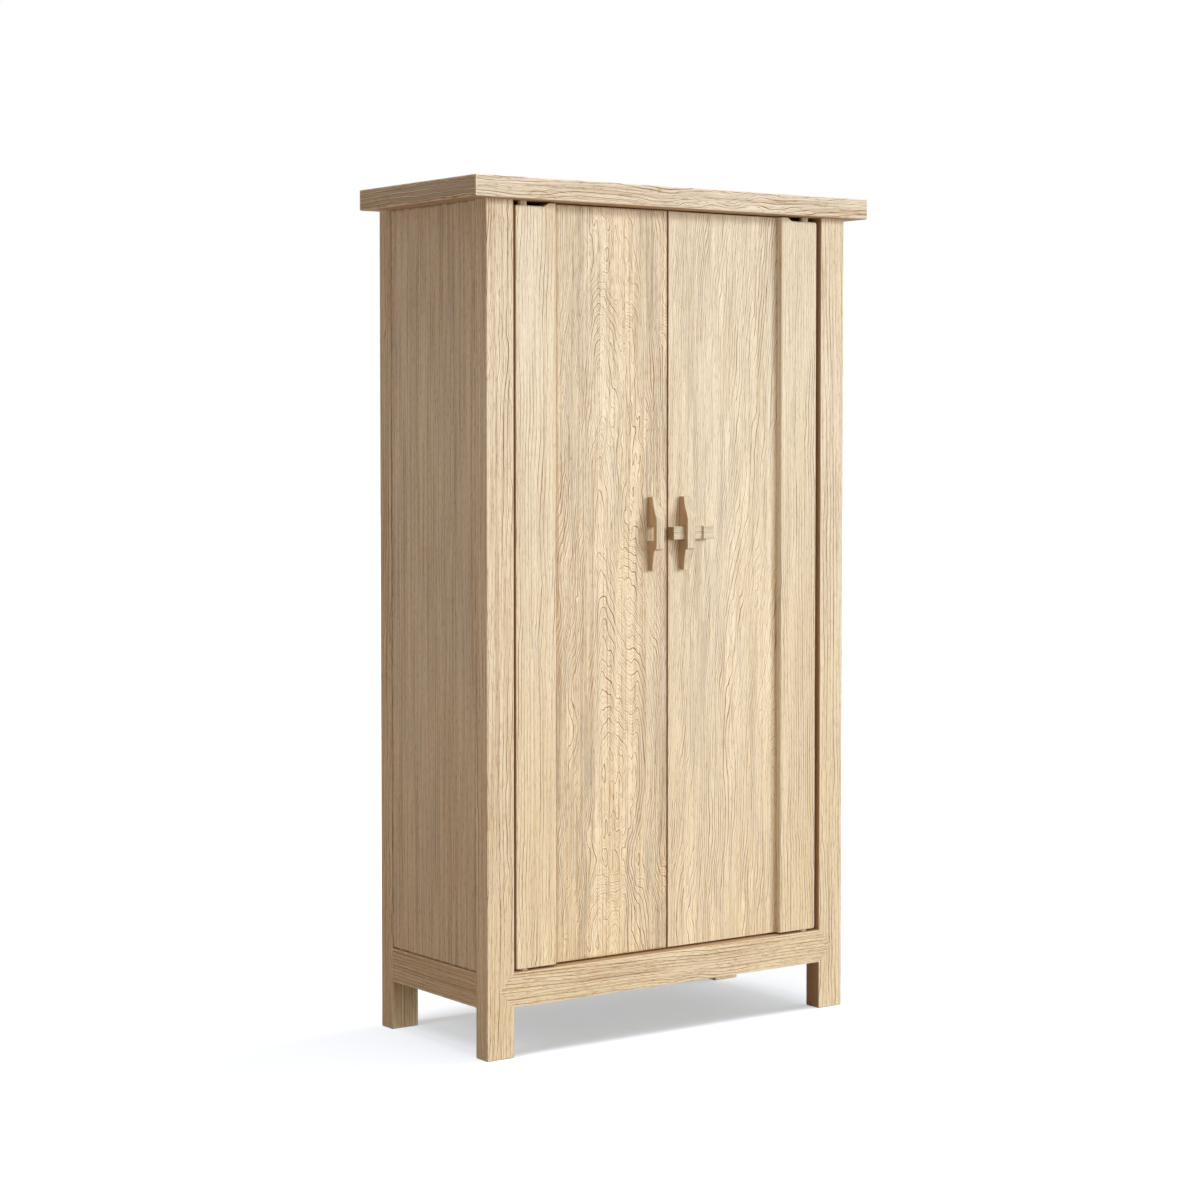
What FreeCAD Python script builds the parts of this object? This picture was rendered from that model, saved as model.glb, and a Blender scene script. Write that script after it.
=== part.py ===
import FreeCAD, Part
import os

V = FreeCAD.Vector

# Tall two-door cabinet of solid elm: four posts under a mitred top, rails and grooved panels
# between the posts, and doors of a thick pivot stile with a thinner wide board.
# X runs left to right as seen from the front, Y from front to back, Z up from the floor.
# The origin is on the floor under the middle of the top. Sizes are in millimetres.

# Top
overall_height = 1800.0
top_thickness = 44.0
top_width = 1034.0
top_depth = 454.0
top_member_width = 90.0
top_upper_round = 2.0
top_lower_round = 3.5
side_overhang = 43.0
front_overhang = 28.0
back_overhang = 8.0
top_board_thickness = 18.0
top_board_gap = 1.0
brace_width = 40.0
brace_spread = 160.0
brace_tenon = 16.0
brace_lift = 4.0
brace_shoulder = 6.0
brace_tenon_rise = 8.0
brace_tenon_thickness = 10.0
top_tongue_rise = 1.0

# Posts
post_width = 66.0
post_depth = 44.0
post_round = 2.5
foot_chamfer = 1.8
post_tenon_width = 26.0
post_tenon_depth = 28.0
post_tenon_height = 24.0
post_tenon_inset = 12.0

# Rails
rail_floor_gap = 104.0
rail_height = 72.0
front_rail_thickness = 38.0
back_rail_thickness = 34.0
side_rail_thickness = 30.0
side_rail_setback = 1.0
rail_round = 1.5
tenon_thickness = 12.0
tenon_shoulder = 12.0
front_tenon_length = 30.0
side_tenon_length = 28.0
mitre_depth = 10.0
tenon_behind_mitre = 4.0
back_tenon_inset = 3.0
back_tenon_thickness = 11.0
back_middle_rail_height = 60.0

# Panels and boards held in grooves
side_panel_thickness = 14.0
side_panel_setback = 2.0
back_panel_thickness = 10.0
back_panel_setback = 9.0
tongue_thickness = 8.0
tongue_length = 7.5
panel_shadow_gap = 1.5
panel_foot_gap = 4.0
bottom_board_thickness = 20.0
bottom_tongue_length = 6.0

# Shelves
shelf_count = 3
shelf_thickness = 22.0
shelf_setback = 63.0
shelf_end_gap = 2.0
shelf_back_gap = 0.5
bearer_panel_gap = 0.5
bearer_width = 27.0
bearer_height = 36.0
bearer_stub_length = 12.0
bearer_stub_width = 10.0
bearer_stub_height = 24.0

# Doors
stile_width = 100.0
stile_thickness = 32.0
stile_setback = 5.0
stile_post_gap = 8.2
stile_round = 3.0
stile_corner_round = 5.0
door_top_gap = 2.5
door_foot_gap = 4.0
door_meeting_gap = 3.5
door_board_step = 16.0
door_tongue_length = 9.5
meeting_round = 1.5
stile_notch_depth = 7.0
stile_notch_length = 72.0
stile_notch_slope = 11.0
pivot_inset = 25.6
pivot_setback = 14.7
pin_radius = 9.5
pin_bedding = 40.0
pin_reach = 18.0
socket_lift_room = 2.0
batten_height = 46.0
batten_thickness = 16.0
batten_mouth = 32.0
batten_root = 40.0
batten_root_depth = 5.0
batten_end_gap = 12.0
batten_chamfer = 3.0
batten_door_inset = 151.5
stop_length = 140.0
stop_width = 18.0
stop_height = 16.0
stop_gap = 0.5

# Handles and the bolt that slides through them
handle_level = 1069.5
handle_inset = 31.5
handle_width = 20.6
handle_end_width = 17.0
handle_half_height = 78.0
handle_block_half = 32.5
handle_block_thickness = 30.0
handle_end_thickness = 13.7
# The curves from the thin ends to the block, as shares of the thickness gained and of the height left.
# The lower one stops short of the block's front, where the block is cut back to it in a ledge.
handle_upper_sweep = [(0.0, 1.0), (0.19, 0.70), (0.37, 0.49), (0.74, 0.19), (1.0, 0.0)]
handle_lower_sweep = [(0.0, 1.0), (0.07, 0.74), (0.20, 0.51), (0.34, 0.28), (0.52, 0.07)]
handle_dowel_radius = 4.0
handle_dowel_end_inset = 20.0
handle_dowel_in_door = 11.0
handle_dowel_in_handle = 9.0
bolt_height = 28.0
bolt_thickness = 18.5
bolt_length = 110.0
bolt_chamfer = 1.5
bolt_end_past_handle = 13.0
bolt_door_gap = 0.6
bolt_play = 1.2
bolt_meeting_gap = 0.25
grip_length = 32.0
grip_depth = 5.0

# Fits
joint_play = 0.2
groove_plays = 2.5
dowel_play = 0.05
pivot_play = 0.1

# Planes and lines that the pieces share
frame_top = overall_height - top_thickness
frame_half = top_width / 2 - side_overhang
front_face = -top_depth / 2 + front_overhang
back_face = top_depth / 2 - back_overhang
post_inner = frame_half - post_width
front_post_back = front_face + post_depth
back_post_front = back_face - post_depth
rail_top = rail_floor_gap + rail_height
side_panel_outer = frame_half - side_panel_setback
side_panel_inner = side_panel_outer - side_panel_thickness
back_panel_back = back_face - back_panel_setback
back_panel_front = back_panel_back - back_panel_thickness
stile_outer = post_inner - stile_post_gap
stile_inner = stile_outer - stile_width
stile_front = front_face + stile_setback
door_back = stile_front + stile_thickness
board_front = stile_front + door_board_step
meeting_edge = door_meeting_gap / 2
door_foot = rail_top + door_foot_gap
door_top = frame_top - door_top_gap
pivot_x = stile_outer - pivot_inset
pivot_y = stile_front + pivot_setback
batten_levels = {
    "low": door_foot + batten_door_inset,
    "mid": (door_foot + door_top) / 2,
    "high": door_top - batten_door_inset}
back_middle_rail_bottom = (rail_top + frame_top - back_middle_rail_height) / 2
back_middle_rail_top = back_middle_rail_bottom + back_middle_rail_height
shelf_pitch = (frame_top - rail_top - shelf_count * shelf_thickness) / (shelf_count + 1)
shelf_undersides = [rail_top + shelf_pitch * (n + 1) + shelf_thickness * n for n in range(shelf_count)]
handle_outer = handle_inset + handle_width
bolt_rest_end = meeting_edge + bolt_meeting_gap
bolt_travel = bolt_rest_end + handle_outer + bolt_end_past_handle


def block(x0, x1, y0, y1, z0, z1):
    """A rectangular block between two planes in each direction."""
    return Part.makeBox(x1 - x0, y1 - y0, z1 - z0, V(x0, y0, z0))


def prism(points, direction):
    """A flat polygon pushed along a direction."""
    wire = Part.makePolygon([V(*p) for p in points] + [V(*points[0])])
    return Part.Face(wire).extrude(V(*direction))


def mirrored(shape):
    """The same piece for the other side of the cabinet."""
    return shape.mirror(V(0, 0, 0), V(1, 0, 0))


def edges_along(shape, axis, test):
    """Straight edges parallel to an axis (0, 1 or 2) whose middle passes a test."""
    found = []
    for edge in shape.Edges:
        if len(edge.Vertexes) != 2:
            continue
        step = edge.Vertexes[1].Point - edge.Vertexes[0].Point
        parts = [abs(step.x), abs(step.y), abs(step.z)]
        if parts[axis] > 1.0 and sum(parts) - parts[axis] < 1e-6:
            middle = (edge.Vertexes[0].Point + edge.Vertexes[1].Point) * 0.5
            if test(middle):
                found.append(edge)
    return found


def save(shape, node):
    """Write one piece of the cabinet under its own name."""
    solid = shape.removeSplitter()
    if solid.ShapeType != "Solid":
        solid = solid.Solids[0]
    solid.exportStep("parts/" + node + ".step")


os.makedirs("parts", exist_ok=True)


# Tenons of the rails, and the mortises cut for them with a little play.
# Each tenon is a plain tongue that stands back from the rail's upper and lower edges.

def front_tenon(play):
    y = front_face + mitre_depth + tenon_behind_mitre
    return block(
        -post_inner - front_tenon_length - play, -post_inner + 1.0,
        y - play, y + tenon_thickness + play,
        rail_floor_gap + tenon_shoulder - play, rail_top - tenon_shoulder + play)


def back_tenon(bottom, height, play):
    y = back_face - back_rail_thickness + back_tenon_inset
    return block(
        -post_inner - front_tenon_length - play, -post_inner + 1.0,
        y - play, y + back_tenon_thickness + play,
        bottom + tenon_shoulder - play, bottom + height - tenon_shoulder + play)


def side_tenon(play):
    x = -frame_half + side_rail_setback + (side_rail_thickness - tenon_thickness) / 2
    return block(
        x - play, x + tenon_thickness + play,
        front_post_back - side_tenon_length - play, back_post_front + side_tenon_length + play,
        rail_floor_gap + tenon_shoulder - play, rail_top - tenon_shoulder + play)


def mitre_point(play):
    """The pointed end of the front rail that is let into the face of the post."""
    reach = rail_height / 2 + play
    middle = rail_floor_gap + rail_height / 2
    return prism(
        [(-post_inner, front_face, middle - reach),
         (-post_inner - reach, front_face, middle),
         (-post_inner, front_face, middle + reach)],
        (0, mitre_depth + play, 0))


bearer_outer = -side_panel_inner + bearer_panel_gap


def bearer_stub(level, play):
    x = bearer_outer + (bearer_width - bearer_stub_width) / 2
    z = level - bearer_height / 2
    return block(
        x - play, x + bearer_stub_width + play,
        front_post_back - bearer_stub_length - play, back_post_front + bearer_stub_length + play,
        z - bearer_stub_height / 2 - play, z + bearer_stub_height / 2 + play)


def side_tongue(play):
    """The thin edge of the left side panel that sits in the grooves around it."""
    x = -side_panel_outer + (side_panel_thickness - tongue_thickness) / 2
    reach = tongue_length + groove_plays * play
    return block(
        x - play, x + tongue_thickness + play,
        front_post_back - reach, back_post_front + reach,
        rail_top - reach, frame_top + reach)


def back_sheet(bottom, top, play):
    """A back board with its edges in the grooves of the back frame."""
    reach = tongue_length + groove_plays * play
    return block(
        -post_inner - reach, post_inner + reach,
        back_panel_front - play, back_panel_back + play,
        bottom - reach, top + reach)


def post_tenon(y_middle, play):
    x = -post_inner - post_tenon_inset - post_tenon_width
    return block(
        x - play, x + post_tenon_width + play,
        y_middle - post_tenon_depth / 2 - play, y_middle + post_tenon_depth / 2 + play,
        frame_top, frame_top + post_tenon_height + 2.0 * play)


# Posts: square-cut legs that run from the floor to the top, with eased arrises.

def left_post(y0, y1):
    body = block(-frame_half, -post_inner, y0, y1, 0, frame_top)
    body = body.makeFillet(post_round, edges_along(body, 2, lambda m: True))
    foot_edges = [e for e in body.Edges if all(abs(v.Point.z) < 1e-6 for v in e.Vertexes)]
    body = body.makeChamfer(foot_chamfer, foot_edges)
    body = body.fuse(post_tenon((y0 + y1) / 2, 0.0))
    cuts = [side_tenon(joint_play), side_tongue(joint_play)]
    cuts += [bearer_stub(level, joint_play) for level in shelf_undersides]
    return body.cut(cuts)


front_left_post = left_post(front_face, front_post_back)
front_left_post = front_left_post.cut([front_tenon(joint_play), mitre_point(joint_play)])
save(front_left_post, "front_left_post")
save(mirrored(front_left_post), "front_right_post")

back_left_post = left_post(back_post_front, back_face)
back_left_post = back_left_post.cut([
    back_tenon(rail_floor_gap, rail_height, joint_play),
    back_tenon(back_middle_rail_bottom, back_middle_rail_height, joint_play),
    back_sheet(rail_top, frame_top, joint_play)])
save(back_left_post, "back_left_post")
save(mirrored(back_left_post), "back_right_post")


# Bottom board: lies level with the rails' upper edges, with a tongue in a groove of each rail.

board_left = -frame_half + side_rail_setback + side_rail_thickness
board_front_edge = front_face + front_rail_thickness
board_back_edge = back_face - back_rail_thickness


def bottom_tongue(play):
    z = rail_top - bottom_board_thickness / 2
    reach = bottom_tongue_length + play
    low = z - tongue_thickness / 2 - play
    high = z + tongue_thickness / 2 + play
    long_way = block(
        board_left - reach, -board_left + reach,
        front_post_back + 1.0, back_post_front - 1.0, low, high)
    deep_way = block(
        -post_inner + 1.0, post_inner - 1.0,
        board_front_edge - reach, board_back_edge + reach, low, high)
    return long_way.fuse(deep_way)


bottom_board = block(
    board_left, -board_left, front_post_back, back_post_front,
    rail_top - bottom_board_thickness, rail_top)
bottom_board = bottom_board.fuse(block(
    -post_inner, post_inner, board_front_edge, board_back_edge,
    rail_top - bottom_board_thickness, rail_top))
bottom_board = bottom_board.fuse(bottom_tongue(0.0))
save(bottom_board, "bottom_board")


# Rails: the front one ends in pointed mitres on the posts' faces and carries the lower pivots,
# the others butt against the posts.

front_rail = block(-post_inner, post_inner, front_face, board_front_edge, rail_floor_gap, rail_top)
front_rail = front_rail.makeFillet(
    rail_round, edges_along(front_rail, 0, lambda m: m.y < front_face + 1.0))
left_end = front_tenon(0.0).fuse(mitre_point(0.0))
front_rail = front_rail.fuse([left_end, mirrored(left_end)])
socket = Part.makeCylinder(
    pin_radius + pivot_play, pin_reach, V(-pivot_x, pivot_y, rail_top - pin_reach))
front_rail = front_rail.cut([socket, mirrored(socket), bottom_tongue(joint_play)])
save(front_rail, "front_bottom_rail")


def back_rail(bottom, height):
    rail = block(
        -post_inner, post_inner, board_back_edge, back_face, bottom, bottom + height)
    rail = rail.makeFillet(rail_round, edges_along(rail, 0, lambda m: m.y > back_face - 1.0))
    tenon = back_tenon(bottom, height, 0.0)
    return rail.fuse([tenon, mirrored(tenon)])


lower_sheet = back_sheet(rail_top, back_middle_rail_bottom, joint_play)
upper_sheet = back_sheet(back_middle_rail_top, frame_top, joint_play)
back_bottom_rail = back_rail(rail_floor_gap, rail_height)
save(back_bottom_rail.cut([lower_sheet, bottom_tongue(joint_play)]), "back_bottom_rail")
back_middle_rail = back_rail(back_middle_rail_bottom, back_middle_rail_height)
save(back_middle_rail.cut([lower_sheet, upper_sheet]), "back_middle_rail")

side_rail = block(
    -frame_half + side_rail_setback, board_left,
    front_post_back, back_post_front, rail_floor_gap, rail_top)
side_rail = side_rail.makeFillet(
    rail_round, edges_along(side_rail, 1, lambda m: m.x < -frame_half + 2.0))
side_rail = side_rail.fuse(side_tenon(0.0))
side_rail = side_rail.cut([side_tongue(joint_play), bottom_tongue(joint_play)])
save(side_rail, "left_bottom_rail")
save(mirrored(side_rail), "right_bottom_rail")


# Side and back panels: loose in their grooves so that the wood can move.

side_panel = block(
    -side_panel_outer, -side_panel_inner,
    front_post_back + panel_shadow_gap, back_post_front - panel_shadow_gap,
    rail_top + panel_foot_gap, frame_top)
side_panel = side_panel.fuse(side_tongue(0.0))
save(side_panel, "left_side_panel")
save(mirrored(side_panel), "right_side_panel")
save(back_sheet(rail_top, back_middle_rail_bottom, 0.0), "back_lower_panel")
save(back_sheet(back_middle_rail_top, frame_top, 0.0), "back_upper_panel")


# Shelves: loose boards on bearers that are tenoned between the front and back posts.

for number, level in enumerate(shelf_undersides):
    bearer = block(
        bearer_outer, bearer_outer + bearer_width,
        front_post_back, back_post_front, level - bearer_height, level)
    bearer = bearer.fuse(bearer_stub(level, 0.0))
    save(bearer, "left_bearer_%d" % (number + 1))
    save(mirrored(bearer), "right_bearer_%d" % (number + 1))
    shelf = block(
        -side_panel_inner + shelf_end_gap, side_panel_inner - shelf_end_gap,
        front_face + shelf_setback, back_post_front - shelf_back_gap, level, level + shelf_thickness)
    shelf = shelf.makeFillet(
        rail_round, edges_along(shelf, 0, lambda m: m.y < front_face + shelf_setback + 1.0))
    save(shelf, "shelf_%d" % (number + 1))


# Top: four mitred members round a loose board that is carried by two braces.

top_frame = block(
    -top_width / 2, top_width / 2, -top_depth / 2, top_depth / 2, frame_top, overall_height)


def on_rim(z):
    return [e for e in top_frame.Edges if all(abs(v.Point.z - z) < 1e-6 for v in e.Vertexes)]


top_frame = top_frame.makeFillet(top_lower_round, on_rim(frame_top))
top_frame = top_frame.makeFillet(top_upper_round, on_rim(overall_height))
well_x = top_width / 2 - top_member_width
well_y = top_depth / 2 - top_member_width
board_underside = overall_height - top_board_thickness


def top_tongue(play):
    z = board_underside + top_tongue_rise
    reach = tongue_length + groove_plays * play
    return block(
        -well_x - reach, well_x + reach, -well_y - reach, well_y + reach,
        z - play, z + tongue_thickness + play)


def brace_tenons(play):
    half = brace_width / 2 - brace_shoulder
    low = frame_top + brace_tenon_rise
    return block(
        brace_spread - half - play, brace_spread + half + play,
        -well_y - brace_tenon - play, well_y + brace_tenon + play,
        low - play, low + brace_tenon_thickness + play)


upper_socket = Part.makeCylinder(
    pin_radius + pivot_play, pin_reach + socket_lift_room, V(-pivot_x, pivot_y, frame_top))
front_tenon_hole = post_tenon((front_face + front_post_back) / 2, joint_play)
back_tenon_hole = post_tenon((back_post_front + back_face) / 2, joint_play)
left_cuts = [upper_socket, front_tenon_hole, back_tenon_hole, side_tongue(joint_play)]
top_cuts = left_cuts + [mirrored(cut) for cut in left_cuts]
top_cuts.append(block(-well_x, well_x, -well_y, well_y, frame_top - 1.0, overall_height + 1.0))
top_cuts += [top_tongue(joint_play), brace_tenons(joint_play), mirrored(brace_tenons(joint_play))]
top_cuts.append(upper_sheet)
top_frame = top_frame.cut(top_cuts)

half_x = top_width / 2
half_y = top_depth / 2
low = frame_top - 1.0
rise = (0, 0, top_thickness + 2.0)
front_cell = prism(
    [(-half_x, -half_y, low), (half_x, -half_y, low), (half_x - half_y, 0, low),
     (-half_x + half_y, 0, low)], rise)
left_cell = prism(
    [(-half_x, -half_y, low), (-half_x + half_y, 0, low), (-half_x, half_y, low)], rise)
back_cell = front_cell.mirror(V(0, 0, 0), V(0, 1, 0))
save(top_frame.common(front_cell), "top_front_member")
save(top_frame.common(back_cell), "top_back_member")
save(top_frame.common(left_cell), "top_left_member")
save(top_frame.common(mirrored(left_cell)), "top_right_member")

top_board = block(
    -well_x + top_board_gap, well_x - top_board_gap, -well_y + top_board_gap, well_y - top_board_gap,
    board_underside, overall_height)
save(top_board.fuse(top_tongue(0.0)), "top_board")

brace = block(
    brace_spread - brace_width / 2, brace_spread + brace_width / 2, -well_y, well_y,
    frame_top + brace_lift, board_underside)
brace = brace.fuse(brace_tenons(0.0))
save(brace, "top_right_brace")
save(mirrored(brace), "top_left_brace")


# Door stops: short blocks behind the meeting edges, under the top and on the bottom board.

stop_front = door_back + stop_gap
save(block(-stop_length / 2, stop_length / 2, stop_front, stop_front + stop_width,
           frame_top - stop_height, frame_top), "top_door_stop")
save(block(-stop_length / 2, stop_length / 2, stop_front, stop_front + stop_width,
           rail_top, rail_top + stop_height), "bottom_door_stop")


# Door stile: the thick post of the door, notched at the top where its pivot pin shows.

notch_floor = door_top - stile_notch_depth
notch_start = -stile_outer + stile_notch_length


def door_tongue(play):
    y = board_front + (door_back - board_front - tongue_thickness) / 2
    return block(
        -stile_inner - door_tongue_length - groove_plays * play, -stile_inner + 1.0,
        y - play, y + tongue_thickness + play, door_foot - play, door_top + play)


notch = prism(
    [(-stile_outer - 1.0, stile_front - 1.0, notch_floor),
     (notch_start, stile_front - 1.0, notch_floor),
     (notch_start + stile_notch_slope, stile_front - 1.0, door_top),
     (notch_start + stile_notch_slope, stile_front - 1.0, door_top + 1.0),
     (-stile_outer - 1.0, stile_front - 1.0, door_top + 1.0)],
    (0, stile_thickness + 2.0, 0))
stile = block(-stile_outer, -stile_inner, stile_front, door_back, door_foot, door_top).cut(notch)
stile = stile.makeFillet(
    stile_corner_round,
    edges_along(stile, 1, lambda m: m.x < -stile_outer + 1.0 and m.z < notch_floor + 1.0))
stile = stile.makeFillet(stile_round, edges_along(stile, 2, lambda m: m.y < stile_front + 1.0))
bore_radius = pin_radius + dowel_play
upper_bore = Part.makeCylinder(
    bore_radius, pin_bedding + stile_notch_depth, V(-pivot_x, pivot_y, notch_floor - pin_bedding))
lower_bore = Part.makeCylinder(bore_radius, pin_bedding, V(-pivot_x, pivot_y, door_foot))
stile = stile.cut([upper_bore, lower_bore, door_tongue(joint_play)])
save(stile, "left_door_stile")
save(mirrored(stile), "right_door_stile")


# Pivot pins: turned dowels fixed in the stile, running in the rail below and the top above.

upper_pin_foot = notch_floor - pin_bedding
upper_pin = Part.makeCylinder(
    pin_radius, frame_top + pin_reach - upper_pin_foot, V(-pivot_x, pivot_y, upper_pin_foot))
lower_pin_foot = rail_top - pin_reach
lower_pin = Part.makeCylinder(
    pin_radius, door_foot + pin_bedding - lower_pin_foot, V(-pivot_x, pivot_y, lower_pin_foot))
save(upper_pin, "left_door_upper_pin")
save(lower_pin, "left_door_lower_pin")
save(mirrored(upper_pin), "right_door_upper_pin")
save(mirrored(lower_pin), "right_door_lower_pin")


# Door board: one wide board tongued into the stile, kept flat by three dovetailed battens.

def batten_key(level, x0, x1, play):
    """The dovetailed root of a batten, wider inside the board than at its surface."""
    mouth = batten_mouth / 2 + play
    root = batten_root / 2 + play
    depth = batten_root_depth + play
    return prism(
        [(x0, door_back, level - mouth), (x0, door_back - depth, level - root),
         (x0, door_back - depth, level + root), (x0, door_back, level + mouth)],
        (x1 - x0, 0, 0))


def handle_dowel(side, radius, play):
    """One dowel that runs from the door board into the back of the left handle."""
    length = handle_dowel_in_door + handle_dowel_in_handle + 2.0 * play
    start = board_front + handle_dowel_in_door + play
    x = -handle_inset - handle_width / 2
    z = handle_level + side * (handle_half_height - handle_dowel_end_inset)
    return Part.makeCylinder(radius + play, length, V(x, start, z), V(0, -1, 0))


dowel_holes = [handle_dowel(side, handle_dowel_radius, dowel_play) for side in (-1, 1)]
batten_start = -stile_inner + batten_end_gap
batten_finish = -meeting_edge - batten_end_gap
board = block(-stile_inner, -meeting_edge, board_front, door_back, door_foot, door_top)
board = board.makeFillet(
    meeting_round, edges_along(board, 2, lambda m: m.x > -meeting_edge - 1.0 and m.y < board_front + 1.0))
board = board.fuse(door_tongue(0.0))
keyways = [
    batten_key(level, batten_start, -meeting_edge + 1.0, joint_play) for level in batten_levels.values()]
board = board.cut(keyways + dowel_holes)
save(board, "left_door_board")
save(mirrored(board), "right_door_board")

for name, level in batten_levels.items():
    batten = block(
        batten_start, batten_finish, door_back, door_back + batten_thickness,
        level - batten_height / 2, level + batten_height / 2)
    batten = batten.makeChamfer(
        batten_chamfer, edges_along(batten, 0, lambda m: m.y > door_back + batten_thickness - 1.0))
    batten = batten.fuse(batten_key(level, batten_start, batten_finish, 0.0))
    save(batten, "left_door_batten_" + name)
    save(mirrored(batten), "right_door_batten_" + name)


# Handles: carved bars with a full block in the middle that sweeps down to thin ends.
# A notch in the back of the block lets the bolt pass between handle and door.

def sweep_edge(points):
    curve = Part.BSplineCurve()
    curve.interpolate(points)
    return curve.toShape()


handle_x = -handle_inset - handle_width / 2
handle_gain = handle_block_thickness - handle_end_thickness
handle_run = handle_half_height - handle_block_half


def sweep_points(sweep, side):
    """The points of the upper or the lower curve of the left handle."""
    points = []
    for gain, run in sweep:
        y = board_front - handle_end_thickness - gain * handle_gain
        points.append(V(0, y, handle_level + side * (handle_block_half + run * handle_run)))
    return points


upper_sweep = sweep_points(handle_upper_sweep, 1)
lower_sweep = sweep_points(handle_lower_sweep, -1)
ledge_corner = V(0, board_front - handle_block_thickness, handle_level - handle_block_half)
upper_back = V(0, board_front, handle_level + handle_half_height)
lower_back = V(0, board_front, handle_level - handle_half_height)
outline = Part.Wire([
    Part.makeLine(upper_back, upper_sweep[0]),
    sweep_edge(upper_sweep),
    Part.makeLine(upper_sweep[-1], ledge_corner),
    Part.makeLine(ledge_corner, lower_sweep[-1]),
    sweep_edge(list(reversed(lower_sweep))),
    Part.makeLine(lower_sweep[0], lower_back),
    Part.makeLine(lower_back, upper_back)])
handle = Part.Face(outline).extrude(V(handle_width, 0, 0))
handle.translate(V(handle_x - handle_width / 2, 0, 0))
face_outline = []
for z, half in ((-handle_half_height, handle_end_width / 2), (-handle_block_half, handle_width / 2),
                (handle_block_half, handle_width / 2), (handle_half_height, handle_end_width / 2)):
    face_outline.append((handle_x + half, board_front, handle_level + z))
for x, y, z in list(reversed(face_outline)):
    face_outline.append((2 * handle_x - x, y, z))
handle = handle.common(prism(face_outline, (0, -handle_block_thickness - 1.0, 0)))
bolt_way = block(
    handle_x - handle_width, handle_x + handle_width,
    board_front - bolt_door_gap - bolt_thickness - bolt_play, board_front + 1.0,
    handle_level - bolt_height / 2 - bolt_play, handle_level + bolt_height / 2 + bolt_play)
handle = handle.cut([bolt_way] + dowel_holes)
save(handle, "left_handle")
save(mirrored(handle), "right_handle")

for name, side in (("lower", -1), ("upper", 1)):
    dowel = handle_dowel(side, handle_dowel_radius, 0.0)
    save(dowel, "left_handle_%s_dowel" % name)
    save(mirrored(dowel), "right_handle_%s_dowel" % name)


# Bolt: a square bar with a finger grip, drawn to the right so that both doors are free.

bolt_back = board_front - bolt_door_gap
bolt = block(
    bolt_rest_end, bolt_rest_end + bolt_length, bolt_back - bolt_thickness, bolt_back,
    handle_level - bolt_height / 2, handle_level + bolt_height / 2)
bolt = bolt.makeChamfer(bolt_chamfer, [e for e in bolt.Edges if e.CenterOfMass.y < bolt_back - 1.0])
grip = block(
    bolt_travel - grip_length / 2, bolt_travel + grip_length / 2,
    bolt_back - bolt_thickness - 1.0, bolt_back - bolt_thickness + grip_depth,
    handle_level - bolt_height, handle_level + bolt_height)
save(bolt.cut(grip), "latch_bolt")
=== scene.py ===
import math

import bmesh
import bpy
from mathutils import Euler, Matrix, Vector


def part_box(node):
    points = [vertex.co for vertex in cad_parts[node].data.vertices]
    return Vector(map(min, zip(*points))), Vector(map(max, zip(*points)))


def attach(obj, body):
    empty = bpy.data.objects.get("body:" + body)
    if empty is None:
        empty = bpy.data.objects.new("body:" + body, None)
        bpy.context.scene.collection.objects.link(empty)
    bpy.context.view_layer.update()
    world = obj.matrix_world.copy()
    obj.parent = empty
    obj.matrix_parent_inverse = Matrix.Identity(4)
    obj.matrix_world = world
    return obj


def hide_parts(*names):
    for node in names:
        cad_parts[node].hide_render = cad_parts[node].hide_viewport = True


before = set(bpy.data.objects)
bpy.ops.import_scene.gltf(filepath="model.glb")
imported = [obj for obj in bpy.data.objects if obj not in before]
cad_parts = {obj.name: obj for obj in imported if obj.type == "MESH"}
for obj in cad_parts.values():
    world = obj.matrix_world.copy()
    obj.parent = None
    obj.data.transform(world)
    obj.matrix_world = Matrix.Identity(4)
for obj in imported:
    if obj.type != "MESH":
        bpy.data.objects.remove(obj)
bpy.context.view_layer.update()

# Posts
# Four square-cut elm legs run from the floor to the top. They are planed, wire-brushed and
# rubbed with a thin lime wash, so the grain stands up a little and the arrises wear pale.

PALE_ELM = (0.955, 0.870, 0.672, 1.0)
WARM_ELM = (0.930, 0.825, 0.595, 1.0)
GREY_ELM = (0.890, 0.795, 0.600, 1.0)
GRAIN_BROWN = (0.385, 0.205, 0.050, 1.0)
RUBBED_ARRIS = (0.890, 0.810, 0.650, 1.0)
# Brown painted as shade on faces in gaps, under the overhang and turned from the light.
SHADE_BROWN = (0.480, 0.300, 0.155, 1.0)
# A pale line beside each dark line: lime, and a painted highlight of the raised grain.
LIME_AND_HIGHLIGHT = (0.970, 0.920, 0.790, 1.0)
FOOT_TONE = (0.970, 0.950, 0.875, 1.0)
HEAD_TONE = (1.020, 1.060, 1.110, 1.0)
FLOAT, VECTOR, COLOUR = "NodeSocketFloat", "NodeSocketVector", "NodeSocketColor"


def wire(tree, kind, values=None, **settings):
    """One shader node: plain values go on its inputs, and sockets are linked to them."""
    made = tree.nodes.new(kind)
    for key, value in settings.items():
        setattr(made, key, value)
    for key, value in (values or {}).items():
        if isinstance(value, bpy.types.NodeSocket):
            tree.links.new(value, made.inputs[key])
        else:
            made.inputs[key].default_value = value
    return made


def reckon(tree, operation, *terms):
    """The result of one sum on values or sockets."""
    return wire(tree, "ShaderNodeMath", dict(enumerate(terms)), operation=operation).outputs[0]


def reckon_vector(tree, operation, *terms):
    """The result of one sum on vectors, part by part."""
    return wire(tree, "ShaderNodeVectorMath", dict(enumerate(terms)),
                operation=operation).outputs[0]


def ease(tree, value, since, until, start=0.0, end=1.0):
    """Start where the value is at since, end where it is at until, and a smooth way between."""
    return wire(tree, "ShaderNodeMapRange",
                {"Value": value, "From Min": since, "From Max": until,
                 "To Min": start, "To Max": end},
                interpolation_type="SMOOTHSTEP").outputs["Result"]


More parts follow.
